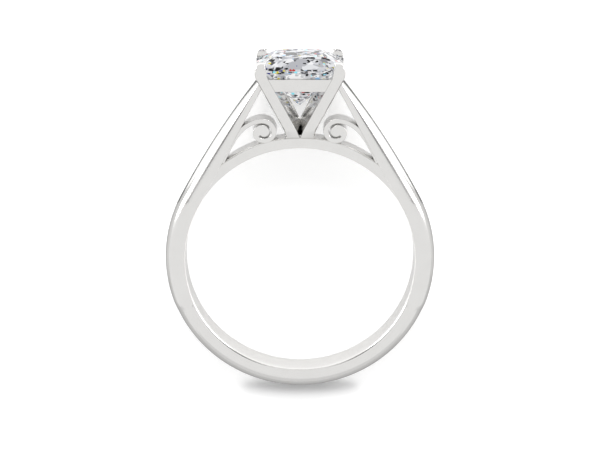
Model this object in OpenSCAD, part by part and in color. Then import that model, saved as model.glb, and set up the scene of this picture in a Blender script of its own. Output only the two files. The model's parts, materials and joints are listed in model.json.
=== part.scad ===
// Cathedral setting ring with one cushion-cut stone, lying on its side as it would on a table.
// Ring frame: X across the finger, Y from the foot of the band up to the stone, Z along the finger.
// Head frame: the same, with the height above the finger's centre as Z.

/* [Band] */
// Diameter of the finger hole
finger_d = 17; // [15:0.25:21]
// Width of the band along the finger
band_w = 2.4; // [2:0.1:3.2]
// Thickness of the band at its sides
band_t = 1.5; // [1.2:0.05:2]
// Thickness of the band at its foot, opposite the stone
foot_t = 1.6; // [1.3:0.05:2.1]
// Height of the flat side face of the band, before its outside starts to round over
side_face_t = 0.45; // [0.25:0.05:0.8]
// Radius of the rounded inner edges of the band
inner_edge_r = 0.2; // [0.1:0.05:0.35]

/* [Shoulders] */
// Angle from the head at which the shoulders leave the round band
shoulder_angle = 62; // [56:1:68]
// Radius of the slow outward curve of a shoulder's back
shoulder_r = 60; // [45:5:120]
// Width of a shoulder along the finger where it meets the head
arm_w = 1.9; // [1.5:0.1:2.2]
// Width of the flat side face of a shoulder where it meets the head
arm_side_face = 0.38; // [0.2:0.02:0.5]

/* [Bridge] */
// Width of the bridge along the finger
bridge_w = 1.7; // [1.4:0.1:2]
// Thickness of the bridge under the head
bridge_t = 0.82; // [0.6:0.02:1]
// Width of the bevel along the bridge's outer edges
bridge_bevel = 0.1; // [0.06:0.02:0.24]

/* [Scrolls] */
// Thickness of the scroll's strip
scroll_t = 0.34; // [0.3:0.02:0.4]
// Width of the scroll's strip along the finger
scroll_w = 1.6; // [1.2:0.1:2]
// Outer radius of the curl
curl_r = 1.02; // [0.86:0.02:1.06]
// Angle from the head at which the curl sits on the bridge
curl_angle = 16.84; // [16.34:0.1:17.34]
// Height of the curl's underside over the bridge, negative where it sinks in to be soldered
curl_seat = -0.03; // [-0.1:0.01:-0.02]

/* [Head] */
// Height of the stone's girdle above the finger hole
stone_lift = 6.1; // [5.7:0.1:6.8]
// How far the prongs stand out past the side of the stone
prong_proud = 0.06; // [0:0.01:0.15]
// Width of a prong's front face
prong_w = 0.86; // [0.7:0.02:1]
// Half width of the head's foot on the bridge
foot_half = 1.14; // [0.94:0.02:1.24]
// Height of the prong tips above the girdle
claw_h = 0.58; // [0.44:0.02:0.66]
// Height of the gallery rail
rail_h = 0.98; // [0.6:0.02:1.1]
// Drop from the girdle to the top of the gallery rail
rail_drop = 0.6; // [0.5:0.02:0.8]
// Thickness of the gallery rail
rail_t = 0.6; // [0.45:0.05:0.7]
// Step from the prong's front face back to the rail's face
rail_step = 0.07; // [0.03:0.01:0.15]

/* [Stone] */
// Width of the stone across its flat sides
stone_w = 6.32; // [6:0.1:6.8]
// Height of the crown above the girdle
crown_h = 0.78; // [0.65:0.05:1]
// Depth of the pavilion below the girdle
pavilion_h = 3; // [2.7:0.1:3.2]
// Thickness of the girdle
girdle_t = 0.1; // [0.06:0.02:0.2]
// Radius of the stone's slightly bowed sides
side_bow_r = 12; // [8:1:20]
// Radius of the stone's rounded corners
corner_r = 1.4; // [1:0.1:1.8]
// Gap between the stone and its seat
seat_gap = 0.03; // [0.02:0.01:0.06]

/* [Hidden] */

finger_r = finger_d / 2;
bridge_r = finger_r + bridge_t;
// Metal that reaches inside the finger hole before the hole is bored
bore_waste = 0.35;
// Longer than any width along the finger
through = 12;
// Sink of one soldered part into another
solder = 0.1;
// Number of sides of the finger hole
bore_sides = 180;

// Section of band and shoulders: share of the domed height, share of the half width.
// The dome is a superellipse. A high power gives the band a flat back with soft edges, a low
// one gives the shoulders a round back that starts at an edge on the side face.
band_power = 2.9;
leaving_power = 2.3;
head_power = 1.75;
dome_steps = 6;
function dome(u, power) = pow(1 - pow(u, power), 1 / power);
function dome_half(power) =
    [for (i = [0:dome_steps]) let (a = 90 * i / dome_steps) [sin(a), dome(sin(a), power)]];

// Stations of the round band, in degrees from the head, and of a shoulder, as shares of its length
band_step = (180 - shoulder_angle) / 22;
band_angles = [for (a = [shoulder_angle:band_step:180.001]) a];
shoulder_steps = 8;

// Outside of the round band: it thickens slightly towards the foot
function band_out(a) = finger_r + band_t + (foot_t - band_t) * pow(max(0, -cos(a)), 1.5);

// Back of a shoulder: an arc that leaves the band at a tangent. s is the length along it.
back_start_r = band_out(shoulder_angle);
function back_heading(s) = shoulder_angle - s / shoulder_r * 180 / PI;
function back_point(s) = [
    -back_start_r * sin(shoulder_angle)
        + shoulder_r * (sin(shoulder_angle) - sin(back_heading(s))),
    back_start_r * cos(shoulder_angle)
        + shoulder_r * (cos(back_heading(s)) - cos(shoulder_angle))];
// Inside of a shoulder: a straight line that leaves the finger hole at a tangent
function inside_point(s) = [
    -finger_r * sin(shoulder_angle) + s * cos(shoulder_angle),
    finger_r * cos(shoulder_angle) + s * sin(shoulder_angle)];

// Height over which the head's foot spreads from the bridge to its full width
foot_flare_h = 0.52;
// How far the prongs' straight part stays inside their front at the girdle
prong_draw_in = 0.09;
// Girdle, head and rail heights above the finger's centre
girdle_y = finger_r + stone_lift;
head_half = stone_w / 2 + prong_proud;
prong_foot_y = bridge_r + foot_flare_h;
rail_top_y = girdle_y - rail_drop;
rail_low_y = rail_top_y - rail_h;
claw_y = girdle_y + claw_h;
// The prongs lean out in a straight line from the foot up to the rail's top
prong_lean = (head_half - prong_draw_in - foot_half) / (rail_top_y - prong_foot_y);
function prong_out(y) = foot_half + (y - prong_foot_y) * prong_lean;
rail_face = prong_out(rail_top_y) - rail_step;

// The shoulders are trimmed at this distance from the middle, inside the gallery rail. They are
// drawn longer than that by the overrun, so that all their stations lie square to them. The back
// is a little longer than the inside because it is curved.
shoulder_end_x = rail_face - rail_t * 0.6;
shoulder_overrun = 0.9;
inside_length = (finger_r * sin(shoulder_angle) - shoulder_end_x) / cos(shoulder_angle) + shoulder_overrun;
back_stretch = 1.004;
back_length = inside_length * back_stretch;

function blend(a, b, t) = a + (b - a) * t;

// One station, from its inner to its outer point, with its side face, half width and dome power
function station(inner, outer, face, half, power) =
    let (v = outer - inner, h = norm(v), dir = v / h, back = dome_half(power))
    [for (side = [1, -1])
        for (k = [0:dome_steps + 1])
            let (i = side > 0 ? k : dome_steps + 1 - k,
                 q = i == 0 ? [0, 1] : back[i - 1],
                 up = i == 0 ? 0 : face + (h - face) * q[0],
                 p = inner + dir * up)
            if (!(side < 0 && k == 0))
                [p[0], p[1], side * half * q[1]]];

function band_station(a) =
    let (out = [-sin(a), cos(a)])
    station(out * (finger_r - bore_waste), out * band_out(a), bore_waste + side_face_t, band_w / 2,
            blend(band_power, leaving_power, max(0, cos(a)) / cos(shoulder_angle)));

function shoulder_station(t) =
    let (inner = inside_point(t * inside_length), outer = back_point(t * back_length),
         sink = bore_waste * pow(1 - t, 2) * (outer - inner) / norm(outer - inner))
    station(inner - sink, outer, norm(sink) + blend(side_face_t, arm_side_face, sqrt(t)),
            blend(band_w, arm_w, t) / 2, blend(leaving_power, head_power, sqrt(t)));

left_stations = concat(
    [for (i = [shoulder_steps:-1:1]) shoulder_station(i / shoulder_steps)],
    [for (a = band_angles) band_station(a)]);
shank_stations = concat(
    left_stations,
    [for (i = [len(left_stations) - 2:-1:0])
        [for (p = left_stations[i]) [-p[0], p[1], p[2]]]]);

// Closed skin over a row of rings that have the same number of points
module skin(rings) {
    n = len(rings[0]);
    m = len(rings);
    points = [for (r = rings) for (p = r) p];
    sides = [for (i = [0:m - 2]) for (j = [0:n - 1])
        [i * n + j, (i + 1) * n + j, (i + 1) * n + (j + 1) % n, i * n + (j + 1) % n]];
    caps = [[for (j = [n - 1:-1:0]) j], [for (j = [0:n - 1]) (m - 1) * n + j]];
    polyhedron(points, concat(sides, caps), convexity = 8);
}

// Band and both shoulders in one sweep, trimmed inside the gallery rail
module shank() {
    difference() {
        skin(shank_stations);
        translate([-shoulder_end_x, girdle_y - stone_lift / 2, -through / 2])
            cube([2 * shoulder_end_x, stone_lift, through]);
    }
}

// Inside of the finger hole with its rounded edges
module finger_bore() {
    cylinder(r = finger_r, h = through, center = true, $fn = bore_sides);
    edge = [for (i = [0:4]) let (a = 90 * i / 4)
        [finger_r + inner_edge_r * (1 - cos(a)), band_w / 2 - inner_edge_r * (1 - sin(a))]];
    for (side = [0, 1])
        mirror([0, 0, side])
            rotate_extrude($fn = bore_sides)
                polygon(concat([[finger_r - solder, band_w / 2 - inner_edge_r]], edge,
                    [[finger_r + inner_edge_r, band_w], [finger_r - solder, band_w]]));
}

// Bridge: a bevelled bar bent round the finger hole, with its ends inside the band
module bridge() {
    half = bridge_w / 2;
    section = [
        [finger_r - bore_waste, -half], [bridge_r - bridge_bevel, -half],
        [bridge_r, -half + bridge_bevel], [bridge_r, half - bridge_bevel],
        [bridge_r - bridge_bevel, half], [finger_r - bore_waste, half]];
    rotate([0, 0, 90 - shoulder_angle])
        rotate_extrude(angle = 2 * shoulder_angle, $fn = bore_sides)
            polygon(section);
}

// Volute: a spiral whose turns lie one strip and a slit apart, carried on by arcs that open
// out into the leg. Columns of the leg: radius as a share of the curl's radius, degrees turned.
curl_slit = 0.13;
curl_pitch = scroll_t + curl_slit;
curl_turns = 1.62;
curl_steps = 44;
curl_stretch = 1.1;
leg_arcs = [[2.1, 30], [2.84, 18], [4.42, 13], [32, 3]];
leg_steps = 4;

function spiral_r(turn) = curl_r - curl_pitch * turn;
// Place of the curl's centre, with its underside just sunk in the bridge
curl_x = bridge_r * sin(curl_angle);
curl_y = bridge_r * cos(curl_angle) + curl_seat + spiral_r(0.5);
function curl_at(r, a) = [curl_stretch * r * cos(a), r * sin(a)];
// Outer edge of the curl: it starts at the top and turns down over the side nearest the head
spiral_edge = [for (i = [0:curl_steps]) let (t = curl_turns * i / curl_steps, a = 90 - 360 * t)
    curl_at(spiral_r(t), a)];
// Inner edge: it stops where the slit ends, so the heart of the curl is solid
slit_steps = 18;
spiral_inner = [for (i = [0:slit_steps])
    let (t = (curl_turns - 1) * i / slit_steps, a = 90 - 360 * t)
    curl_at(spiral_r(t) - scroll_t, a)];

// The leg walks back from the top of the curl, one arc after another
function arc_walk(p, heading, arcs, k = 0) =
    k >= len(arcs) * leg_steps ? [] :
    let (arc = arcs[floor(k / leg_steps)], turn = arc[1] / leg_steps, r = arc[0] * curl_r,
         step = 2 * r * sin(turn / 2), h = heading + turn / 2,
         q = p - step * [cos(h), sin(h)])
    concat([[q, heading + turn]], arc_walk(q, heading + turn, arcs, k + 1));
leg = arc_walk([0, curl_r], 0, leg_arcs);
leg_edge = [for (s = leg) s[0]];
leg_inner = [for (s = leg) s[0] + scroll_t * [sin(s[1]), -cos(s[1])]];

module scroll() {
    outline = concat(
        [for (i = [len(leg_edge) - 1:-1:0]) leg_edge[i]], spiral_edge,
        [for (i = [slit_steps:-1:0]) spiral_inner[i]], leg_inner);
    translate([-curl_x, curl_y, -scroll_w / 2])
        linear_extrude(scroll_w)
            polygon(outline);
}

module scrolls() {
    scroll();
    mirror([1, 0, 0]) scroll();
}

// One prong, seen from above: outer corner with a small chamfer, two outer faces as wide as
// prong_w, and an inner ridge on the diagonal that leans to the middle and shuts the cone below.
ridge_y = blend(bridge_r, girdle_y, 0.24);
ridge_lean = 0.565;
corner_chamfer = 0.1;
// How far inside the girdle's corner a claw's inner ridge stands, across each side of the stone
claw_depth = 1;
function ridge(y) = max(-0.03, (y - ridge_y) * ridge_lean);
function prong_ring(out_x, out_z, face, inner, chamfer) = [
    [out_x - chamfer, out_z], [out_x - face, out_z], [inner, inner],
    [out_x, out_z - face], [out_x, out_z - chamfer]];
module prong() {
    levels = [
        prong_flat(bridge_r - solder, foot_half * 0.9, bridge_w * 0.45, foot_half * 0.9),
        prong_flat(prong_foot_y, foot_half, foot_half, prong_w),
        prong_flat(ridge_y, prong_out(ridge_y), prong_out(ridge_y), prong_w),
        prong_flat(rail_low_y, prong_out(rail_low_y), prong_out(rail_low_y), prong_w),
        prong_flat(rail_top_y, prong_out(rail_top_y), prong_out(rail_top_y), prong_w),
        claw_level(0, 0, 0.9, 1),
        claw_level(0.3, 0.02, 0.88, 1.2),
        claw_level(0.6, 0.06, 0.84, 1.6),
        claw_level(0.87, 0.17, 0.74, 2.2),
        claw_level(1, 0.32, 0.6, 2.6)];
    skin(levels);
}
// Rings of a prong at one height: while it is straight, and above the rail
function lift(y, ring) = [for (p = ring) [p[0], p[1], y]];
function prong_flat(y, out_x, out_z, face) =
    lift(y, prong_ring(out_x, out_z, face, ridge(y), corner_chamfer));
// t runs from the stone's girdle to the tip; inset, face and chamfer shape the rounded claw
function claw_level(t, inset, face, chamfer) =
    lift(blend(girdle_y - girdle_t, claw_y, t), prong_ring(head_half - inset, head_half - inset,
        prong_w * face, head_half - claw_depth, corner_chamfer * chamfer));

// Square ring that leans out with the prongs
function square_ring(y, half) = [
    [half, half, y], [-half, half, y], [-half, -half, y], [half, -half, y]];
module rail() {
    lean = prong_lean * rail_h;
    difference() {
        skin([square_ring(rail_low_y, rail_face - lean), square_ring(rail_top_y, rail_face)]);
        skin([
            square_ring(rail_low_y - rail_h, rail_face - rail_t - 2 * lean),
            square_ring(rail_top_y + rail_h, rail_face - rail_t + lean)]);
    }
}

// Head in its own frame, with its foot block on the bridge
module head() {
    block_y = bridge_r - bridge_bevel - solder;
    block_top = bridge_r + foot_flare_h * 0.25;
    difference() {
        union() {
            for (turn = [0:3]) rotate([0, 0, 90 * turn])
                if (turn % 2 == 0) prong();
                else mirror([1, 0, 0]) rotate([0, 0, 90]) prong();
            rail();
            translate([-foot_half, -bridge_w * 0.36, block_y])
                cube([2 * foot_half, bridge_w * 0.72, block_top - block_y]);
        }
        translate([0, 0, girdle_y]) cut_stone(seat_gap);
    }
}

// Outline of the stone: bowed sides and round corners that meet smoothly.
// corner_at is the distance of a corner's centre from the axes.
stone_half = stone_w / 2;
bow_c = side_bow_r - stone_half;
corner_at = (sqrt(pow(bow_c, 2) - 2 * (pow(bow_c, 2) - pow(side_bow_r - corner_r, 2))) - bow_c) / 2;
bow_angle = atan2(corner_at, corner_at + bow_c);
// Distance of the outline's tangent from the axis, by the way it faces
function reach(a) =
    let (f = abs((a + 45) - 90 * floor((a + 45) / 90) - 45))
    f < bow_angle ? side_bow_r - bow_c * cos(f) : corner_at * (cos(f) + sin(f)) + corner_r;
function outline_point(a) =
    let (q = floor((a + 45) / 90), f = a - 90 * q)
    let (p = abs(f) < bow_angle ? side_bow_r * [cos(f), sin(f)] - [bow_c, 0]
            : [corner_at, sign(f) * corner_at] + corner_r * [cos(f), sin(f)])
    [p[0] * cos(90 * q) - p[1] * sin(90 * q), p[0] * sin(90 * q) + p[1] * cos(90 * q)];
outline_angles = [for (q = [0:3]) for (f = [-0.9, -0.3, 0.3, 0.9]) 90 * q + f * bow_angle,
    for (q = [0:3]) for (f = [14, 27, 40, 50, 63, 76]) 90 * q + f];
function sorted(list) = len(list) <= 1 ? list :
    let (pivot = list[floor(len(list) / 2)])
    concat(sorted([for (v = list) if (v < pivot) v]), [for (v = list) if (v == pivot) v],
        sorted([for (v = list) if (v > pivot) v]));
outline_order = sorted(outline_angles);

// Facets. Columns: ways they face in degrees, slope in degrees.
side_ways = [0, 90, 180, 270];
corner_ways = [45, 135, 225, 315];
half_ways = [for (q = side_ways) for (f = [-67, -23, -5, 5]) q + f];
table_side = stone_half - crown_h / tan(29.5);
table_corner = reach(45) - crown_h / tan(27);
crown_facets = [[side_ways, 29.5], [corner_ways, 27], [half_ways, 36]];
side_main = atan(pavilion_h / stone_half);
pavilion_facets = [
    [side_ways, side_main], [corner_ways, atan(pavilion_h / reach(45))], [half_ways, side_main + 2]];
star_slope = 18;
culet_share = 0.97;

// Takes away what lies above a plane that slopes down outwards from a level line
module facet_cut(way, distance, height, slope) {
    size = 2 * through;
    rotate([0, 0, way]) translate([distance, 0, height]) rotate([0, slope, 0])
        translate([-size / 2, -size / 2, 0]) cube(size);
}

// Stone with its girdle's top at height 0. grow moves every facet outwards.
module cut_stone(grow = 0) {
    table_edge = [table_side, 0] - table_corner * [cos(45), sin(45)];
    star_way = 90 + atan2(table_edge[1], table_edge[0]);
    star_reach = table_side * cos(star_way);
    difference() {
        translate([0, 0, -girdle_t - pavilion_h * culet_share - grow])
            linear_extrude(crown_h + girdle_t + pavilion_h * culet_share + 2 * grow)
                polygon([for (a = outline_order) outline_point(a) + grow * [cos(a), sin(a)]]);
        for (row = crown_facets) for (way = row[0])
            facet_cut(way, reach(way) + grow * sin(row[1]), grow * cos(row[1]), row[1]);
        for (q = side_ways) for (side = [1, -1])
            facet_cut(q + side * (180 + star_way), star_reach + grow * sin(star_slope),
                crown_h + grow * cos(star_slope), star_slope);
        translate([0, 0, -girdle_t]) mirror([0, 0, 1])
            for (row = pavilion_facets) for (way = row[0])
                facet_cut(way, reach(way) + grow * sin(row[1]), grow * cos(row[1]), row[1]);
    }
}

// The ring rests on the edge of its foot and on two prongs, so the head lies raised.
// The lowest line under it runs from the prongs to the point of the foot that sets the least slope.
foot_ring = band_station(180);
prong_rest = [girdle_y - girdle_t, -head_half];
rest_tilt = min([for (p = foot_ring) if (p[1] < -finger_r)
    atan2(p[2] - prong_rest[1], prong_rest[0] - p[1])]);
function tilted(y, z) = [y * cos(rest_tilt) - z * sin(rest_tilt), y * sin(rest_tilt) + z * cos(rest_tilt)];
rest_height = -tilted(prong_rest[0], prong_rest[1])[1];
far_y = tilted(girdle_y + crown_h, -table_side)[0];
near_y = min([for (p = foot_ring) if (p[1] < -finger_r) tilted(p[1], p[2])[0]]);

module laid_down() {
    translate([0, -(far_y + near_y) / 2, rest_height]) rotate([rest_tilt, 0, 0]) children();
}

module ring_mount() {
    color("gainsboro") laid_down() {
        difference() {
            union() {
                shank();
                bridge();
                scrolls();
            }
            finger_bore();
        }
        rotate([-90, 0, 0]) head();
    }
}

module stone() {
    color("azure") laid_down() rotate([-90, 0, 0]) translate([0, 0, girdle_y]) cut_stone();
}

ring_mount();
stone();
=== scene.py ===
# %% [markdown]
# # A cathedral setting ring on a white table
# The ring is polished white gold with one cushion-cut stone. Its imported CAD model gives the
# real size and place of everything; this lesson gives each metal piece its soft, polished form
# and the stone painted reflections and fire. The ring's own lengths are in millimetres and one
# function turns them to metres. Lights and cards, further down, are typed in metres.

# %% Load the frame
import json
import math

import numpy as np

import bpy
from mathutils import Matrix, Vector


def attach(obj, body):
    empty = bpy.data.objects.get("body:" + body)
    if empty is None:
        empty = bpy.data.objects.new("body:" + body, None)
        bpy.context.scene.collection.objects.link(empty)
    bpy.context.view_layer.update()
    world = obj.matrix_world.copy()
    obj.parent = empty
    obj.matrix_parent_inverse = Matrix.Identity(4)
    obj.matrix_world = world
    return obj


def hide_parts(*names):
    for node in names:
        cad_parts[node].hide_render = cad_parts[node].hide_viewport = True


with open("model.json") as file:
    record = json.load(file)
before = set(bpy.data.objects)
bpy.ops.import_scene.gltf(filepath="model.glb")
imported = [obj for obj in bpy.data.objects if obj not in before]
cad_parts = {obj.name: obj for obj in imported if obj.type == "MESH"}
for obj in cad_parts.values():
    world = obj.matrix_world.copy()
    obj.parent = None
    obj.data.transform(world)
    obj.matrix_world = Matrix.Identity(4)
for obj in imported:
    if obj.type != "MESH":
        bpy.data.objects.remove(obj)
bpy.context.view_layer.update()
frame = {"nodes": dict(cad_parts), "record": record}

# %% [markdown]
# ## Where the ring lies
# A ring left on a table tips over on its side and rests on the edge of its foot and on two
# prongs, so it is tilted a little. Each piece could be modelled in that place, but every formula
# would then carry the tilt. So all shapes are worked out in the ring's own upright frame (x
# across, y from the foot to the stone, z along the finger) and laid down by one turn and one
# shift. The finger hole's mount in the record tells where its centre is and where it points.

# %% Ring frame to row frame
hole = next(m for m in frame["record"]["mounts"] if m["name"] == "finger_hole")
hole_centre = np.array(hole["pos_m"])
tilt = math.atan2(-hole["axis"][1], hole["axis"][2])
lay_turn = np.array([
    [1, 0, 0],
    [0, math.cos(tilt), -math.sin(tilt)],
    [0, math.sin(tilt), math.cos(tilt)]])


def laid_down(points):
    """Points in mm in the ring's frame, turned about x by the tilt and moved to the hole's centre, in m."""
    return np.asarray(points, float) / 1000 @ lay_turn.T + hole_centre


print("tilt:", round(math.degrees(tilt), 2), "degrees")

# %% [markdown]
# ## Sizes that several pieces share
# A ring is drawn round the finger, so the finger hole leads. The bridge lies round it, and the
# head is as wide as the stone and a little of each prong. Sizes that only one piece needs are
# given with that piece. Most are those of the CAD source, typed again because the script reads
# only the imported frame. Widths run along the finger, thicknesses away from it.

# %% Shared sizes in mm
finger_r = hole["dims"]["r_mm"]
shoulder_angle = math.radians(62)
bridge_t = 0.82
bridge_r = finger_r + bridge_t
stone_lift, stone_half, prong_proud = 6.1, 3.16, 0.06
girdle_y = finger_r + stone_lift
head_half = stone_half + prong_proud
print("finger hole, mm across:", 2 * finger_r)

# %% [markdown]
# ## From a grid of points to a closed mesh
# Nearly every piece here is a profile carried along a path. Blender can do that with a curve and
# a bevel object, but then all profiles have one shape. A grid of points, row i being the profile at
# station i, lets each one differ and keeps the CAD's exact sizes. One helper turns such a grid
# into a closed tube with flat ends. Face corners are ordered so that they point outwards when the
# profile runs counterclockwise seen from the path's end. Sharp edges are marked by angle, and a
# Weighted Normal modifier keeps broad faces flat beside narrow rounded edges, which is what a
# polished edge looks like.

# %% Mesh helpers
def add_mesh(name, points, faces, crease=40):
    """A mesh object from points in mm in the ring's frame, smooth but for edges over crease degrees."""
    mesh = bpy.data.meshes.new(name)
    mesh.from_pydata(laid_down(points).tolist(), [], faces)
    mesh.validate()
    mesh.update()
    mesh.shade_smooth()
    mesh.set_sharp_from_angle(angle=math.radians(crease))
    piece = bpy.data.objects.new(name, mesh)
    bpy.context.scene.collection.objects.link(piece)
    return piece


def tube_faces(rows, cols, looped=False):
    """Quads between neighbouring rows of a rows x cols grid whose columns wrap round. An open tube
    gets a cap at each end; a looped one joins its last row to its first."""
    i, j = np.meshgrid(np.arange(rows if looped else rows - 1), np.arange(cols), indexing="ij")
    here, right = i * cols + j, i * cols + (j + 1) % cols
    up = ((i + 1) % rows) * cols
    quads = np.stack([here, right, up + (j + 1) % cols, up + j], -1).reshape(-1, 4)
    faces = quads.tolist()
    if not looped:
        faces.append(np.arange(cols)[::-1].tolist())
        faces.append((np.arange(cols) + (rows - 1) * cols).tolist())
    return faces


def flat_beside_edges(piece):
    """Adds the Weighted Normal modifier, which lets the large faces set the shading."""
    normal = piece.modifiers.new("flat faces", "WEIGHTED_NORMAL")
    normal.keep_sharp = True
    normal.weight = 60
    return piece


print("a tube of 3 rows of 4 points has", len(tube_faces(3, 4)), "faces")

# %% Outlines with soft corners
def rounded_corners(corners, reach, steps=4):
    """Closed outlines (... x k x 2) whose corners are replaced by quadratic Beziers. Each starts and
    ends reach mm from its corner: (1-t)^2 start + 2t(1-t) corner + t^2 end."""
    corners = np.asarray(corners, float)
    before = np.roll(corners, 1, -2) - corners
    after = np.roll(corners, -1, -2) - corners
    reach = np.broadcast_to(reach, corners.shape[-2])[:, None]
    start = corners + before / np.linalg.norm(before, axis=-1, keepdims=True) * reach
    end = corners + after / np.linalg.norm(after, axis=-1, keepdims=True) * reach
    t = np.linspace(0, 1, steps + 1)[:, None]
    start, middle, end = start[..., None, :], corners[..., None, :], end[..., None, :]
    curve = (1 - t) ** 2 * start + 2 * t * (1 - t) * middle + t ** 2 * end
    return curve.reshape(*corners.shape[:-2], -1, 2)


print("a rounded square has", len(rounded_corners([[0, 0], [1, 0], [1, 1], [0, 1]], 0.1)), "points")

# %% [markdown]
# ## Band and shoulders
# The real band is drawn from one bar: round at the foot, then each side leaves the circle at a
# tangent and runs nearly straight up to the head, getting narrower. It could be a tapered curve
# or a subdivided box, but neither keeps the finger hole truly round. Here it is one sweep. At
# each station the inside point and the outside point are known: two circles on the band, a
# straight line and a slow arc on the shoulders. Inside the gallery rail the shoulders are cut off
# upright, so both lines run on a little past that place.

# %% Stations of the shank
band_t, foot_t, shoulder_r = 1.5, 1.6, 60.0
arm_end_x, past_end, outside_stretch = 2.62, 0.9, 1.004
arm_rows, band_rows = 60, 181
arm_length = (finger_r * math.sin(shoulder_angle) - arm_end_x) / math.cos(shoulder_angle) + past_end


def arm_stations(t):
    """Points of the left shoulder for t from 0 on the band to 1 in the head. The inside starts at the
    shoulder's angle on the finger circle and follows its tangent. The outside starts over it and
    turns by its length divided by shoulder_r: x and y are sines and cosines of its heading."""
    run = t * arm_length
    inside = np.stack([
        -finger_r * math.sin(shoulder_angle) + run * math.cos(shoulder_angle),
        finger_r * math.cos(shoulder_angle) + run * math.sin(shoulder_angle)], -1)
    start = finger_r + band_t
    heading = shoulder_angle - run * outside_stretch / shoulder_r
    outside = np.stack([
        -start * math.sin(shoulder_angle) + shoulder_r * (math.sin(shoulder_angle) - np.sin(heading)),
        start * math.cos(shoulder_angle) + shoulder_r * (np.cos(heading) - math.cos(shoulder_angle))], -1)
    return inside, outside


t = np.linspace(1, 0, arm_rows)
arm_in, arm_out = arm_stations(t)
angle = np.linspace(shoulder_angle, 2 * math.pi - shoulder_angle, band_rows)[1:-1]
outward = np.stack([-np.sin(angle), np.cos(angle)], -1)
down = -np.cos(angle)
out_r = finger_r + band_t + (foot_t - band_t) * np.clip(down, 0, 1) ** 1.5
flip = np.array([-1, 1])
inside = np.concatenate([arm_in, outward * finger_r, arm_in[::-1] * flip])
outside = np.concatenate([arm_out, outward * out_r[:, None], arm_out[::-1] * flip])
print(len(inside), "stations")

# %% [markdown]
# The profile between the two points has a rounded inner edge, a flat side face and a superellipse
# dome, |u|^n + |z|^n = 1. With n near 3 it looks flat on top and rolls over softly at the sides.
# The dome gets rounder, with a smaller n, up the shoulders and again towards the foot, where the
# side face gets lower too: that change is eased in and out, from 19 to 25 degrees under the middle.

# %% Profile of the shank
def shank_profile(height, face, half, edge, power, edge_steps=6, dome_steps=28):
    """Height over the inside and z of each profile point, for every station at once.
    Half of it runs: inside face, quarter circle of radius edge, side face, then the dome, where
    the height share is sin(a)^(2/n) and the width share cos(a)^(2/n). The rest is its mirror image."""
    a = np.linspace(0, math.pi / 2, edge_steps + 1)[None, :]
    b = np.linspace(0, math.pi / 2, dome_steps + 1)[None, :]
    round_h, round_z = edge * (1 - np.cos(a)), half - edge * (1 - np.sin(a))
    dome_h = face + (height - face) * np.sin(b) ** (2 / power)
    dome_z = half * np.cos(b).clip(0, 1) ** (2 / power)
    half_h = np.concatenate([np.zeros_like(face), round_h, dome_h], 1)
    half_z = np.concatenate([half * 0.5, round_z, dome_z], 1)
    return (np.concatenate([half_h, half_h[:, -2::-1]], 1),
            np.concatenate([half_z, -half_z[:, -2::-1]], 1))


def over_shank(left_arm, on_band):
    """One value per station, as a column: the left shoulder's, the band's, then the mirrored shoulder's."""
    return np.concatenate([left_arm, on_band, left_arm[::-1]])[:, None]


print("the profile has", shank_profile(*np.ones((5, 1, 1)))[0].shape[1], "points")

# %% Size and roundness at each station
band_w, side_face_t, inner_edge_r = 2.4, 0.45, 0.2
arm_w, arm_side_face, arm_edge_r = 1.9, 0.38, 0.06
share = over_shank(t, np.zeros(len(angle)))
half = (band_w + (arm_w - band_w) * share) / 2
# The rounded inner edge shrinks to arm_edge_r over the first sixth of the shoulders
edge = inner_edge_r + (arm_edge_r - inner_edge_r) * np.clip(share * 6, 0, 1)

foot_from, foot_ease, foot_face_loss = 0.33, 0.1, 0.7
turned_under = np.clip((down - foot_from) / foot_ease, 0, 1)
towards_foot = over_shank(np.zeros(arm_rows), turned_under * turned_under * (3 - 2 * turned_under))
face = side_face_t + (arm_side_face - side_face_t) * np.sqrt(share)
face = face * (1 - foot_face_loss * towards_foot)

band_power, arm_drop, head_drop, foot_drop = 2.9, 0.6, 0.55, 0.75
towards_arm = over_shank(np.ones(arm_rows), np.clip(-down / math.cos(shoulder_angle), 0, 1))
power = band_power - arm_drop * towards_arm - head_drop * np.sqrt(share) - foot_drop * towards_foot
print("dome power from", round(float(power.min()), 2), "to", round(float(power.max()), 2))

# %% Shank
shoulders_over_y = 11
across = outside - inside
height = np.linalg.norm(across, axis=1, keepdims=True)
rise, depth = shank_profile(height, face, half, edge, power)
flat = inside[:, None] + rise[..., None] * (across / height)[:, None]
x = flat[..., 0]
past_cut = (flat[..., 1] > shoulders_over_y) & (np.abs(x) < arm_end_x)
flat[..., 0] = np.where(past_cut, np.sign(x) * arm_end_x, x)
shank_grid = np.concatenate([flat, depth[..., None]], -1)
rows, cols = shank_grid.shape[:2]
shank = add_mesh("shank", shank_grid.reshape(-1, 3), tube_faces(rows, cols))
print("shank:", rows, "x", cols, "points")

# %% [markdown]
# ## Bridge
# A bevelled bar closes the finger circle under the head. On the real ring it is bent from strip
# and soldered in. Spin could turn its profile about the finger's axis; the same turn written as
# one array product gives clean caps as well. Its bevels catch the light as two bright lines, and
# its ends are inside the band, where they would be soldered.

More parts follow.
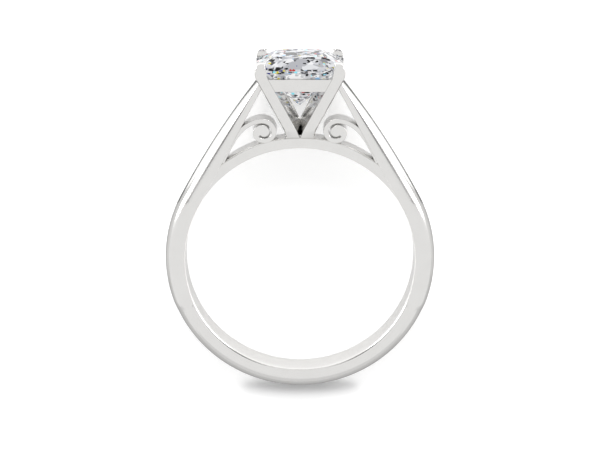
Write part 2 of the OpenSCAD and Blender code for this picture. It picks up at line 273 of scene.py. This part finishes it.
# %% Bridge
bridge_w, bridge_bevel = 1.7, 0.1
inner_soft, bevel_soft = 0.05, 0.025
bevel_start, half_w = bridge_t - bridge_bevel, bridge_w / 2
bridge_profile = rounded_corners([
    [0, -half_w], [bevel_start, -half_w], [bridge_t, -half_w + bridge_bevel],
    [bridge_t, half_w - bridge_bevel], [bevel_start, half_w], [0, half_w]],
    [inner_soft, bevel_soft, bevel_soft, bevel_soft, bevel_soft, inner_soft])
sweep = np.linspace(-shoulder_angle, shoulder_angle, 161)[:, None]
radius = finger_r + bridge_profile[None, :, 0]
bridge_grid = np.stack([
    radius * np.sin(sweep), radius * np.cos(sweep),
    np.broadcast_to(bridge_profile[None, :, 1], (len(sweep), len(bridge_profile)))], -1)
bridge = flat_beside_edges(add_mesh(
    "bridge", bridge_grid.reshape(-1, 3), tube_faces(*bridge_grid.shape[:2])))
print("bridge:", bridge_grid.shape[0], "x", bridge_grid.shape[1], "points")

# %% [markdown]
# ## Scrolls
# Each volute is a strip bent into a spiral and let out into a leg that leans on the shoulder.
# Drawn as a Bezier curve it would need a dozen handles set by eye; formulas follow the CAD
# exactly. The path is the strip's outer edge: arcs for the leg, found by adding up short steps
# along a heading that turns at 1/radius, then a spiral whose radius falls by one pitch each turn.
# The spiral is a tenth wider than high. The strip's thickness lies on the inner side of the path,
# and the slit between its turns closes at the curl's heart.

# %% Scroll outline
scroll_t, scroll_w = 0.34, 1.68
curl_r, curl_slit, curl_turns, curl_stretch = 1.02, 0.13, 1.62, 1.1
curl_pitch = scroll_t + curl_slit
curl_x, curl_sunk = 2.7, 0.03
curl_y = math.sqrt(bridge_r ** 2 - curl_x ** 2) - curl_sunk + curl_r - curl_pitch / 2
curl_centre = np.array([-curl_x, curl_y])
# Radius in curl radii and turn in degrees of each arc of the leg
leg_arcs = np.array([[2.1, 30], [2.84, 18], [4.42, 13], [32.0, 3]]) * [curl_r, 1]


def curl(turn, inset):
    """Spiral points for turns from the top: r = curl_r - pitch * turn - inset, x stretched by a tenth."""
    a = math.pi / 2 - 2 * math.pi * turn
    r = (curl_r - curl_pitch * turn - inset)[:, None]
    return curl_centre + r * np.stack([curl_stretch * np.cos(a), np.sin(a)], -1)


def scroll_outline(samples=10, turn_samples=90, slit_samples=36):
    """Closed outline (n x 2) of the left scroll: down the leg's outer edge and round the spiral to its
    heart, then back along the slit and the leg's inner edge, scroll_t inside the outer one."""
    radii, turns = leg_arcs[:, 0], np.radians(leg_arcs[:, 1])
    step_turn = np.repeat(turns / samples, samples)
    heading = np.cumsum(step_turn) - step_turn / 2
    step = np.repeat(radii * turns / samples, samples)[:, None]
    leg = curl_centre + [0, curl_r] - np.cumsum(step * np.stack([np.cos(heading), np.sin(heading)], -1), 0)
    leg_in = leg + scroll_t * np.stack([np.sin(heading), -np.cos(heading)], -1)
    turn = np.linspace(0, curl_turns, turn_samples)
    slit_turn = np.linspace(curl_turns - 1, 0, slit_samples)
    return np.concatenate([leg[::-1], curl(turn, 0.0), curl(slit_turn, scroll_t), leg_in])


print("curl centre, mm:", curl_centre.round(2))

# %% Scrolls
def scroll(name, side):
    """The outline between two parallel faces, scroll_w apart; side is 1 on the left and -1 on the right.
    A narrow Bevel modifier stands for edges that were broken with a file."""
    outline = scroll_outline() * [side, 1]
    outline = outline if side < 0 else outline[::-1]
    n = len(outline)
    z = np.array([-scroll_w / 2, scroll_w / 2])[:, None, None]
    grid = np.concatenate([np.broadcast_to(outline, (2, n, 2)), np.broadcast_to(z, (2, n, 1))], -1)
    piece = add_mesh(name, grid.reshape(-1, 3), tube_faces(2, n), 50)
    edge = piece.modifiers.new("filed edges", "BEVEL")
    edge.width = 0.06e-3
    edge.segments = 2
    edge.angle_limit = math.radians(60)
    edge.harden_normals = False
    return flat_beside_edges(piece)


scrolls = [scroll("scroll_left", 1), scroll("scroll_right", -1)]
print(len(scroll_outline()), "points round each scroll")

# %% [markdown]
# ## Prongs
# Four corner prongs open out of a small foot like a square funnel. A setter files their claws
# round and presses them onto the stone. Bevelled boxes could stand for them, but the shape changes
# at each height, so a prong is a stack of outlines. Cut level, it is a kite: an outer corner with
# a small chamfer, two front faces, and an inner ridge on the diagonal. The front faces lean
# straight out to the rail, stand upright at the girdle and roll over onto the crown, where the
# kite shrinks to a rounded claw.

# %% Prong levels
foot_half, foot_y = 1.14, bridge_r + 0.52
sunk_y, ridge_y = bridge_r - 0.12, bridge_r + 1.26
rail_top_y, bow_end_y, upright_y = girdle_y - 0.6, girdle_y - 0.35, girdle_y - 0.1
claw_y = girdle_y + np.array([0.02, 0.14, 0.26, 0.37, 0.46, 0.52, 0.56, 0.58])
foot_steps_y = [sunk_y, bridge_r - 0.02, foot_y - 0.04, foot_y + 0.02]
straight_y = np.linspace(ridge_y - 0.1, rail_top_y - 0.08, 20)
bow_y = np.linspace(rail_top_y, girdle_y - 0.06, 10)
levels = np.concatenate([foot_steps_y, straight_y, bow_y, claw_y])
print(len(levels), "levels from", round(levels[0], 2), "to", round(levels[-1], 2), "mm")

# %% Outer corner and chamfer at each level
# At the rail's top the front faces stand bow inside the head's full half width. In the foot they
# stand closer in along the finger than across it.
bow, prong_w = 0.09, 0.86
prong_lean = (head_half - bow - foot_half) / (rail_top_y - foot_y)
turn_y = [sunk_y, foot_y, rail_top_y, bow_end_y, upright_y]
leaning_out = [foot_half, head_half - bow, head_half - 0.02, head_half]
out_x = np.interp(levels, turn_y, [1.02, *leaning_out])
out_z = np.interp(levels, turn_y, [0.76, *leaning_out])
claw_out = head_half - np.array([0.01, 0.02, 0.035, 0.07, 0.12, 0.18, 0.25, 0.33])
out_x[-len(claw_y):] = claw_out
out_z[-len(claw_y):] = claw_out
front_w = np.interp(levels, [bridge_r, foot_y, girdle_y, claw_y[-1]], [1.0, prong_w + 0.05, prong_w, 0.56])
chamfer = np.interp(levels, [girdle_y + 0.3, claw_y[4], claw_y[-1]], [0.09, 0.12, 0.22])
print("prongs lean out by", round(prong_lean, 3), "mm per mm")

# %% Inner ridge at each level
# It leans to the middle until the four meet, at ridge_y, and from seat_y up it follows the stone's
# corner, which leans in by a slope, in mm per mm, under and over the girdle.
ridge_lean, past_middle = 0.567, -0.03
girdle_t, crown_h, stone_corner, crown_slope = 0.1, 0.78, 2.66, 1.387
seat_y, seat_half, pavilion_reach, pavilion_slope = girdle_y - 1.4, 2.62, 1.5, 0.874
beside_stone = np.interp(
    levels,
    [girdle_y - girdle_t - pavilion_reach, girdle_y - girdle_t, girdle_y, girdle_y + crown_h],
    [seat_half - pavilion_reach * pavilion_slope, stone_corner, stone_corner,
     stone_corner - crown_h * crown_slope])
ridge = np.maximum(past_middle, (levels - ridge_y) * ridge_lean)
ridge = np.maximum(ridge, np.where(levels > seat_y, beside_stone, -1))
print("ridge at the girdle, mm:", round(float(np.interp(girdle_y, levels, ridge)), 2))

# %% Prongs
chamfer_soft, edge_soft = 0.03, 0.035


def kites(out_x, out_z, front, inner, chamfer):
    """The outline of every level (levels x points x 2), x before z: chamfered outer corner, two front
    faces and the inner ridge, with soft edges."""
    corners = [
        (out_x - chamfer, out_z), (out_x - front, out_z), (inner, inner),
        (out_x, out_z - front), (out_x, out_z - chamfer)]
    soft = [chamfer_soft, edge_soft, edge_soft, edge_soft, chamfer_soft]
    return rounded_corners(np.stack([np.stack(c, -1) for c in corners], -2), soft, 3)


def prong_points(outlines, flip_x, flip_z):
    """The outlines as ring-frame points, mirrored to one of the four corners. Where the number of
    mirrorings is even the profile's order is turned round, so that faces still point outwards."""
    up = np.broadcast_to(levels[:, None], outlines.shape[:2])
    points = np.stack([outlines[..., 0] * flip_x, up, outlines[..., 1] * flip_z], -1)
    return points[:, ::-1] if flip_x * flip_z > 0 else points


outlines = kites(out_x, out_z, front_w, ridge, chamfer)
prongs = []
corners = [("left_front", -1, 1), ("right_front", 1, 1), ("left_back", -1, -1), ("right_back", 1, -1)]
for name, flip_x, flip_z in corners:
    grid = prong_points(outlines, flip_x, flip_z)
    prongs.append(flat_beside_edges(add_mesh(
        "prong_" + name, grid.reshape(-1, 3), tube_faces(*grid.shape[:2]), 35)))
print("each prong:", outlines.shape[0], "x", outlines.shape[1], "points")

# %% [markdown]
# ## Gallery rail
# The rail is a square ring soldered between the prongs, which holds them apart. Its faces lean
# out with them and the top inner edge is cut to the slope of the stone's underside, as a setter's
# bur leaves it. Cubes and a boolean could make it; a five-sided profile carried round the four
# corners keeps every face a clean quad.

# %% Rail
rail_h, rail_t, rail_step = 0.98, 0.6, 0.07
bur_w, bur_h = 0.36, 0.35
rail_low_y = rail_top_y - rail_h
rail_out_top = head_half - bow - rail_step
rail_out_low = rail_out_top - rail_h * prong_lean
rail_profile = rounded_corners([
    [rail_out_low, rail_low_y], [rail_out_top, rail_top_y], [seat_half, rail_top_y],
    [seat_half - bur_w, rail_top_y - bur_h], [rail_out_low - rail_t, rail_low_y]],
    [0.05, 0.04, 0.03, 0.03, 0.05])
corner_signs = np.array([[1, 1], [-1, 1], [-1, -1], [1, -1]])
rail_grid = np.stack([
    corner_signs[:, None, 0] * rail_profile[None, :, 0],
    np.broadcast_to(rail_profile[None, :, 1], (4, len(rail_profile))),
    corner_signs[:, None, 1] * rail_profile[None, :, 0]], -1)
rail_faces = tube_faces(4, len(rail_profile), looped=True)
rail = flat_beside_edges(add_mesh("gallery_rail", rail_grid[:, ::-1].reshape(-1, 3), rail_faces, 30))
print("rail, half width at the top, mm:", round(rail_out_top, 2))

# %% [markdown]
# ## Foot of the head
# The head stands on a small block of metal that fills the funnel's neck down to the bridge.
# Little of it shows, so a rounded rectangle at three heights is enough.

# %% Foot
foot_w, foot_d, foot_soft = 1.0, 0.6, 0.08
foot_outline = rounded_corners([
    [-foot_w, -foot_d], [foot_w, -foot_d], [foot_w, foot_d], [-foot_w, foot_d]], foot_soft)
foot_levels = np.array([bridge_r - bridge_bevel - 0.1, bridge_r + 0.06, bridge_r + 0.13])
foot_spread = np.array([0.9, 0.95, 1.0])
foot_grid = np.stack([
    foot_outline[None, :, 0] * foot_spread[:, None],
    np.broadcast_to(foot_levels[:, None], (3, len(foot_outline))),
    np.broadcast_to(foot_outline[None, :, 1], (3, len(foot_outline)))], -1)
foot_faces = tube_faces(3, len(foot_outline))
foot = flat_beside_edges(add_mesh("head_foot", foot_grid[:, ::-1].reshape(-1, 3), foot_faces))
print("foot:", foot_grid.shape[0], "x", foot_grid.shape[1], "points")

# %% [markdown]
# ## Materials
# A material is a tree of nodes. Building it by hand in the Shader Editor shows each step, but a
# script is easier to repeat. sRGB hex colours are what a picture editor shows; Blender's sockets
# want linear values, so one function converts them. Another adds a node with its settings and
# links, and a third closes the tree with the output.

# %% Material helpers
def linear(hex_colour):
    """sRGB hex to linear RGBA: c/12.92 below 0.04045, else ((c + 0.055)/1.055)^2.4."""
    srgb = np.array([int(hex_colour[i:i + 2], 16) / 255 for i in (1, 3, 5)])
    lin = np.where(srgb <= 0.04045, srgb / 12.92, ((srgb + 0.055) / 1.055) ** 2.4)
    return (*lin.tolist(), 1.0)


def node(tree, kind, settings=None, inputs=None):
    """Adds one node. settings are its attributes. inputs map a socket to a constant, to an output to
    link, or to another node, whose first output is then linked."""
    made = tree.nodes.new(kind)
    for key, value in (settings or {}).items():
        setattr(made, key, value)
    for key, value in (inputs or {}).items():
        if isinstance(value, bpy.types.Node):
            value = value.outputs[0]
        if isinstance(value, bpy.types.NodeSocket):
            tree.links.new(value, made.inputs[key])
        else:
            made.inputs[key].default_value = value
    return made


def new_material(name, add_shader):
    """A node material whose surface is the shader node that add_shader(tree) makes."""
    material = bpy.data.materials.new(name)
    material.use_nodes = True
    tree = material.node_tree
    tree.nodes.clear()
    node(tree, "ShaderNodeOutputMaterial", None, {"Surface": add_shader(tree)})
    return material


print("middle grey is", round(linear("#808080")[0], 3), "in linear light")

# %% [markdown]
# ## White gold
# 18 carat white gold, rhodium plated and polished on a buff: a nearly colourless metal. Hand
# buffing leaves the finest hairlines and a slightly uneven sheen, so what it mirrors is soft at
# the edges. One roughness for all of it would look too even for hand work. So the roughness
# wanders between 0.16 and 0.2 over about a millimetre, and a hair-thin bump stands for the
# scratches, 200 to the centimetre, coarser than real ones so that they show at all. The specular
# tint dims what a metal mirrors at a grazing angle, which draws the bars' thin grey outlines.

# %% Polished white gold
sheen_per_cm, hairlines_per_cm = 9.0, 200.0
cm_per_m = 100.0


def polished_white_gold(tree):
    """Metal whose roughness and tone follow one soft noise, with a finer noise as its bump."""
    place = node(tree, "ShaderNodeTexCoord").outputs["Object"]
    sheen = node(tree, "ShaderNodeTexNoise", None, {
        "Vector": place, "Scale": sheen_per_cm * cm_per_m, "Detail": 3.0}).outputs["Fac"]
    rough = node(tree, "ShaderNodeMapRange", None, {"Value": sheen, "To Min": 0.16, "To Max": 0.2})
    tone = node(tree, "ShaderNodeMix", {"data_type": "RGBA"}, {
        "Factor": sheen, 6: linear("#EFEEEC"), 7: linear("#F6F5F3")})
    hairlines = node(tree, "ShaderNodeTexNoise", None, {
        "Vector": place, "Scale": hairlines_per_cm * cm_per_m, "Detail": 2.0}).outputs["Fac"]
    bump = node(tree, "ShaderNodeBump", None, {"Height": hairlines, "Strength": 0.02, "Distance": 0.00001})
    return node(tree, "ShaderNodeBsdfPrincipled", None, {
        "Base Color": tone.outputs[2], "Metallic": 1.0, "Roughness": rough,
        "Specular Tint": linear("#CCCCCC"), "Normal": bump})


gold = new_material("polished rhodium-plated white gold", polished_white_gold)
print(gold.name)

# %% [markdown]
# ## Diamond
# A diamond sends most light that enters it back out after several inner reflections, so each real
# facet shows a mosaic of small patches: many of them light, some grey, a few black, and here and
# there a flash of pure colour, the fire. Tracing that light would need thousands of samples a
# pixel, so the mosaic is painted instead: painted reflections and fire, mostly given off as light
# by the stone, though it is no lamp. Its cells are angular Voronoi cells of three sizes, about 1,
# 0.4 and 0.2 mm wide, in the stone's own frame. They are shifted by each facet's normal, so that
# the pattern breaks at every edge of the cut.

# %% Cells and steps of the painted mosaic
def cells(tree, place, per_mm, seed):
    """Random red, green and blue of each angular Voronoi cell; per_mm is cells per mm along x, y and z."""
    spread = node(tree, "ShaderNodeVectorMath", {"operation": "MULTIPLY_ADD"}, {
        0: place, 1: per_mm, 2: (seed, seed, seed)})
    mosaic = node(tree, "ShaderNodeTexVoronoi", {"distance": "MANHATTAN"}, {"Vector": spread, "Scale": 1.0})
    return node(tree, "ShaderNodeSeparateColor", None, {"Color": mosaic.outputs["Color"]}).outputs


def in_flat_steps(ramp, stops):
    """Gives a Color Ramp flat steps: each stop is the value from which its sRGB colour holds."""
    ramp.color_ramp.interpolation = "CONSTANT"
    for _ in stops[2:]:
        ramp.color_ramp.elements.new(0.5)
    for element, (position, colour) in zip(ramp.color_ramp.elements, stops):
        element.position = position
        element.color = linear(colour)
    return ramp


# Greys and fire colours of the painted reflections in the stone
grey_steps = [
    (0.0, "#040405"), (0.05, "#4C4D51"), (0.1, "#85868B"), (0.2, "#AEAFB4"),
    (0.36, "#C8C9CD"), (0.56, "#D8D9DC"), (0.76, "#EAEAEC"), (0.9, "#FFFFFF")]
fire_steps = [
    (0.0, "#B8281C"), (0.2, "#8FEAF7"), (0.4, "#D9CC3C"), (0.6, "#262A86"), (0.8, "#9CC8EE")]
print(len(grey_steps), "greys and", len(fire_steps), "fire colours")

# %% [markdown]
# One random number a cell picks its grey. Painted shade lowers it on the table, on the crown and
# most of all just over the girdle, where the photograph's stone is darkest, and painted light
# raises it a little under the girdle.
# A painted image could say the same, but it would belong to one stone only; heights and facet
# directions fit any.

# %% Painted light and shade of the stone
# Painted shade over the girdle, on the crown and on the table, and painted light under the girdle
dark_band_y, dark_band_reach, dark_band_shade = 0.07, 0.13, 0.3
crown_shade, table_shade, pavilion_painted_light = 0.12, 0.22, 0.15


def painted_stone_shade(tree, normal, height):
    """How much painted shade lowers a cell's number. The band's share falls in a straight line with the
    distance from its middle; of the crown's and the table's the larger counts. height is over the girdle in
    mm."""
    off_band = node(tree, "ShaderNodeMath", {"operation": "SUBTRACT"}, {0: height, 1: dark_band_y})
    distance = node(tree, "ShaderNodeMath", {"operation": "ABSOLUTE"}, {0: off_band})
    in_band = node(tree, "ShaderNodeMapRange", None, {
        "Value": distance, "From Max": dark_band_reach, "To Min": dark_band_shade, "To Max": 0.0})
    on_crown = node(tree, "ShaderNodeMapRange", None, {
        "Value": height, "From Min": 0.1, "From Max": 0.2, "To Max": crown_shade})
    upward = node(tree, "ShaderNodeVectorMath", {"operation": "DOT_PRODUCT"}, {
        0: normal, 1: (lay_turn @ np.array([0, 1, 0])).tolist()}).outputs["Value"]
    faces_up = node(tree, "ShaderNodeMath", {"operation": "GREATER_THAN"}, {0: upward, 1: 0.98})
    on_table = node(tree, "ShaderNodeMath", {"operation": "MULTIPLY"}, {0: faces_up, 1: table_shade})
    on_top = node(tree, "ShaderNodeMath", {"operation": "MAXIMUM"}, {0: on_table, 1: on_crown})
    return node(tree, "ShaderNodeMath", {"operation": "ADD"}, {0: in_band, 1: on_top})


def painted_light_under_girdle(tree, height):
    """How much painted light raises a cell's number: from nothing 0.1 mm under the girdle to all of it at 0.3
    mm.
    """
    return node(tree, "ShaderNodeMapRange", None, {
        "Value": height, "From Min": -0.1, "From Max": -0.3, "To Max": pavilion_painted_light})


print("darkest just over the girdle, by", dark_band_shade)

# %% [markdown]
# The painted grey, the painted fire and the painted black reflections are then mixed. Two in five
# of the large cells stay whole; the others are broken up into medium ones. Fire and black
# reflections take a few of the smallest. The result is given off as painted light, though the
# stone is no lamp, and, made dimmer, is what other light falls on. The roughness and the IOR are
# those of a polished diamond. The specular level is turned far down, because a full mirror image
# of the tent would lay a white veil over the mosaic.

# %% Diamond
# Shares of whole large cells, of painted fire and of painted black reflections
whole_share, fire_share, black_reflection_share = 0.4, 0.06, 0.07


def brilliant_diamond(tree):
    """Painted reflections given off as light: grey steps of (cell number - painted shade + painted lift),
    with painted fire and painted black reflections in the smallest cells.
    """
    place = node(tree, "ShaderNodeTexCoord").outputs["Object"]
    # Stone frame in mm: x across, y above the girdle, z along the finger
    in_stone = node(tree, "ShaderNodeMapping", {"vector_type": "TEXTURE"}, {
        "Vector": place, "Location": laid_down([0, girdle_y, 0]).tolist(),
        "Rotation": (tilt, 0, 0), "Scale": (0.001, 0.001, 0.001)})
    height = node(tree, "ShaderNodeSeparateXYZ", None, {"Vector": in_stone}).outputs["Y"]
    normal = node(tree, "ShaderNodeNewGeometry").outputs["True Normal"]
    facet_by_facet = node(tree, "ShaderNodeVectorMath", {"operation": "MULTIPLY_ADD"}, {
        0: normal, 1: (5.3, 7.1, 6.7), 2: in_stone})
    large = cells(tree, facet_by_facet, (1.0, 2.0, 1.0), 4.0)
    medium = cells(tree, facet_by_facet, (2.4, 4.2, 2.4), 6.0)
    small = cells(tree, facet_by_facet, (4.4, 7.0, 4.4), 11.0)

    whole = node(tree, "ShaderNodeMath", {"operation": "LESS_THAN"}, {0: large["Green"], 1: whole_share})
    patch = node(tree, "ShaderNodeMix", None, {0: whole, 2: medium["Red"], 3: large["Red"]})
    shaded = node(tree, "ShaderNodeMath", {"operation": "SUBTRACT"}, {
        0: patch, 1: painted_stone_shade(tree, normal, height)})
    lifted = node(tree, "ShaderNodeMath", {"operation": "ADD"}, {0: shaded, 1: painted_light_under_girdle(tree, height)})
    grey = in_flat_steps(node(tree, "ShaderNodeValToRGB", None, {"Fac": lifted}), grey_steps)

    fire = in_flat_steps(node(tree, "ShaderNodeValToRGB", None, {"Fac": small["Blue"]}), fire_steps)
    flashes = node(tree, "ShaderNodeMath", {"operation": "GREATER_THAN"}, {
        0: small["Red"], 1: 1 - fire_share})
    with_fire = node(tree, "ShaderNodeMix", {"data_type": "RGBA"}, {
        "Factor": flashes, 6: grey, 7: fire}).outputs[2]
    # Painted black reflections in a few of the smallest cells
    black_reflections = node(tree, "ShaderNodeMath", {"operation": "LESS_THAN"}, {0: small["Green"], 1: black_reflection_share})
    # Painted reflections and fire, which the stone gives off as light
    painted_glow = node(tree, "ShaderNodeMix", {"data_type": "RGBA"}, {
        "Factor": black_reflections, 6: with_fire, 7: linear("#0A0A0B")}).outputs[2]
    dimmer = node(tree, "ShaderNodeMix", {"data_type": "RGBA", "blend_type": "MULTIPLY"}, {
        "Factor": 1.0, 6: painted_glow, 7: linear("#8A8A8A")}).outputs[2]
    # The stone glows with the painted mosaic, though it is no lamp
    return node(tree, "ShaderNodeBsdfPrincipled", None, {
        "Base Color": dimmer, "Roughness": 0.02, "IOR": 2.417, "Specular IOR Level": 0.03,
        "Emission Color": painted_glow, "Emission Strength": 0.68})


diamond = new_material("near-colourless diamond, painted reflections and fire", brilliant_diamond)
print(diamond.name)

# %% [markdown]
# ## Hand the pieces over
# Every metal piece rides on the root body, fills the white gold slot and stands in for the CAD
# node of the mount. The stone keeps its CAD facets, which are already the flat ones of a real
# cut, and only gets the diamond's material.

# %% Finish the pieces
metal = [shank, bridge, *scrolls, *prongs, rail, foot]
for piece in metal:
    piece.data.materials.append(gold)
    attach(piece, "root")
    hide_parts("ring_mount")

stone = frame["nodes"]["stone"]
stone.data.materials.clear()
stone.data.materials.append(diamond)
print(len(metal), "metal pieces")

# %% [markdown]
# ## Table
# The ring lies on a sheet of opal acrylic that fills the view. Real ones are lit from behind, so
# that the picture's ground is pure white. Here the sheet gives off a fifth of full white and the
# tent does the rest. It is dull, so that no softbox shows in it.

# %% Table
def sheet(name, corners, material):
    """One flat staged face through corners in m."""
    corners = np.asarray(corners, float)
    mesh = bpy.data.meshes.new(name)
    mesh.from_pydata(corners.tolist(), [], [list(range(len(corners)))])
    mesh.materials.append(material)
    made = bpy.data.objects.new(name, mesh)
    bpy.context.scene.collection.objects.link(made)
    return made


def opal_acrylic(tree):
    """A dull white surface that gives off a fifth of full white by itself."""
    return node(tree, "ShaderNodeBsdfPrincipled", None, {
        "Base Color": linear("#FAFAFA"), "Roughness": 0.9, "Specular IOR Level": 0.0,
        "Emission Color": linear("#FFFFFF"), "Emission Strength": 0.2})


half_table = 0.6
table_corners = np.array([[-1, -1, 0], [1, -1, 0], [1, 1, 0], [-1, 1, 0]]) * half_table
sheet("table", table_corners, new_material("opal acrylic, lit from behind", opal_acrylic))
print("table:", 2 * half_table, "m square")

# %% [markdown]
# ## Light tent
# Jewellers photograph rings in a white tent. The world's even white is the tent; a modelled one
# would only cost time. A softbox beyond the head brightens the table without showing in the
# metal, and one on each side shows in the faces that turn that way, so that they are almost white.

# %% Tent and softboxes
world = bpy.data.worlds.new("light tent")
world.use_nodes = True
world.node_tree.nodes["Background"].inputs["Color"].default_value = linear("#FFFFFF")
world.node_tree.nodes["Background"].inputs["Strength"].default_value = 0.83
bpy.context.scene.world = world
bpy.context.scene.view_settings.view_transform = "Standard"


def softbox(name, place, size, power):
    """A square area light at place in m, facing the ring at the origin; power in watts."""
    data = bpy.data.lights.new(name, "AREA")
    data.shape = "SQUARE"
    data.size = size
    data.energy = power
    lamp = bpy.data.objects.new(name, data)
    lamp.location = place
    lamp.rotation_mode = "QUATERNION"
    lamp.rotation_quaternion = (-Vector(place)).to_track_quat("-Z", "Y")
    bpy.context.scene.collection.objects.link(lamp)
    return lamp


softbox("head softbox", (0, 0.3, 0.2), 0.2, 0.5).visible_glossy = False
softbox("left softbox", (-0.4, 0.17, 0.07), 0.25, 1.0)
softbox("right softbox", (0.4, 0.17, 0.07), 0.25, 1.0)
print("3 softboxes")

# %% [markdown]
# ## Grey cards and a flag
# White metal in a white tent would vanish. Photographers lay grey cards round it, and the metal
# mirrors them as soft greys and thin outlines. Rays that carry a mirror image are the only ones
# that meet these cards: the camera looks through them and they cast no shadow. Flat sectors on
# the table surround the band, darkest at the foot; a narrow darker strip follows each shoulder; a
# dark card stands on each side of the camera, and a low light one beyond the foot. A flag is the
# opposite: a small black sheet under the foot that only keeps light off the table there, which
# deepens the contact shadow.

# %% Card, flag and sector
def card(name, corners, tone):
    """An evenly lit grey card, corners in m, that only the polished metal and the stone mirror."""
    def paper(tree):
        return node(tree, "ShaderNodeEmission", None, {"Color": linear(tone), "Strength": 1.0})

    made = sheet(name, corners, new_material("matt grey paper " + tone + ", evenly lit", paper))
    made.visible_camera = False
    made.visible_diffuse = False
    made.visible_shadow = False
    made.visible_transmission = False


def black_cloth(tree):
    """Dull cloth that swallows nearly all light."""
    return node(tree, "ShaderNodeBsdfDiffuse", None, {"Color": linear("#101010")})


def flag(name, corners):
    """A dull black sheet that only keeps light off the table; the camera and the metal do not see it."""
    made = sheet(name, corners, new_material("dull black cloth", black_cloth))
    made.visible_camera = False
    made.visible_glossy = False
    made.visible_transmission = False


beside_band, table_edge, over_table = (finger_r + foot_t + 0.05) / 1000, 0.4, 0.0003


def sector(start, end):
    """Corners in m of a flat ring sector round the finger hole, from beside the band outwards. Its
    angles are in degrees from the foot, so x is their sine and y is minus their cosine."""
    a = np.radians(np.linspace(start, end, 25))
    rim = np.stack([np.sin(a), -np.cos(a)], -1)
    flat = np.concatenate([rim * beside_band, rim[::-1] * table_edge]) + hole_centre[:2]
    return np.insert(flat, 2, over_table, axis=1)


print("a sector has", len(sector(0, 45)), "corners")

# %% Lay the cards and the flag
beside_camera = np.array([[0.07, 0.02, 0.19], [0.07, 0.16, 0.19], [0.153, 0.16, 0.129], [0.153, 0.02, 0.129]])
along_shoulder = np.array([
    [0.0092, 0.0009, 0.0004], [0.003, 0.0109, 0.0004], [0.0049, 0.012, 0.0004], [0.0111, 0.002, 0.0004]])
beyond_foot = [[-0.03, -0.036, 0.001], [0.03, -0.036, 0.001], [0.03, -0.036, 0.013], [-0.03, -0.036, 0.013]]
card("foot card", sector(-45, 45), "#C6C6C6")
for side in (-1, 1):
    card("lower flank card", sector(side * 45, side * 78), "#CECECE")
    card("upper flank card", sector(side * 78, side * 118), "#DEDEDE")
    card("side card", beside_camera * [side, 1, 1], "#505050")
    card("shoulder card", along_shoulder * [side, 1, 1], "#8C8C8C")
card("low card", beyond_foot, "#D6D6D6")

flag_w, flag_d, flag_place = 0.0045, 0.0005, [0, -0.0132, 0.0005]
around = np.linspace(0, 2 * math.pi, 33)[:-1]
ellipse = np.stack([flag_w * np.cos(around), flag_d * np.sin(around), 0 * around], -1)
flag("foot flag", ellipse + flag_place)
print("10 cards and 1 flag")

# %% [markdown]
# ## Camera
# A camera can be placed by eye until the picture fits. This view was worked out from the ring's
# own outline instead: the circle of the finger hole and the known sizes give the distance and a
# lens of about 104 mm. It is set in the ring's frame and laid down with the ring, so it looks at
# the ring as the photograph does.

# %% Camera
sensor_w, picture_w, focal_px = 36, 600, 1736.16
camera_place, pitch = [0, 37.6, 124.0], math.radians(15.82)
camera_data = bpy.data.cameras.new("camera")
camera_data.sensor_width = sensor_w
camera_data.lens = sensor_w * focal_px / picture_w
camera_data.clip_start = 0.01
camera_data.clip_end = 5
camera = bpy.data.objects.new("camera", camera_data)
look = lay_turn @ np.array([0, -math.sin(pitch), -math.cos(pitch)])
up = lay_turn @ np.array([0, math.cos(pitch), -math.sin(pitch)])
right = np.cross(look, up)
camera_axes = Matrix(np.stack([right, up, -look], -1).tolist()).to_4x4()
camera.matrix_world = Matrix.Translation(laid_down(camera_place).tolist()) @ camera_axes
bpy.context.scene.collection.objects.link(camera)
bpy.context.scene.camera = camera
print("lens, mm:", round(camera_data.lens, 1))
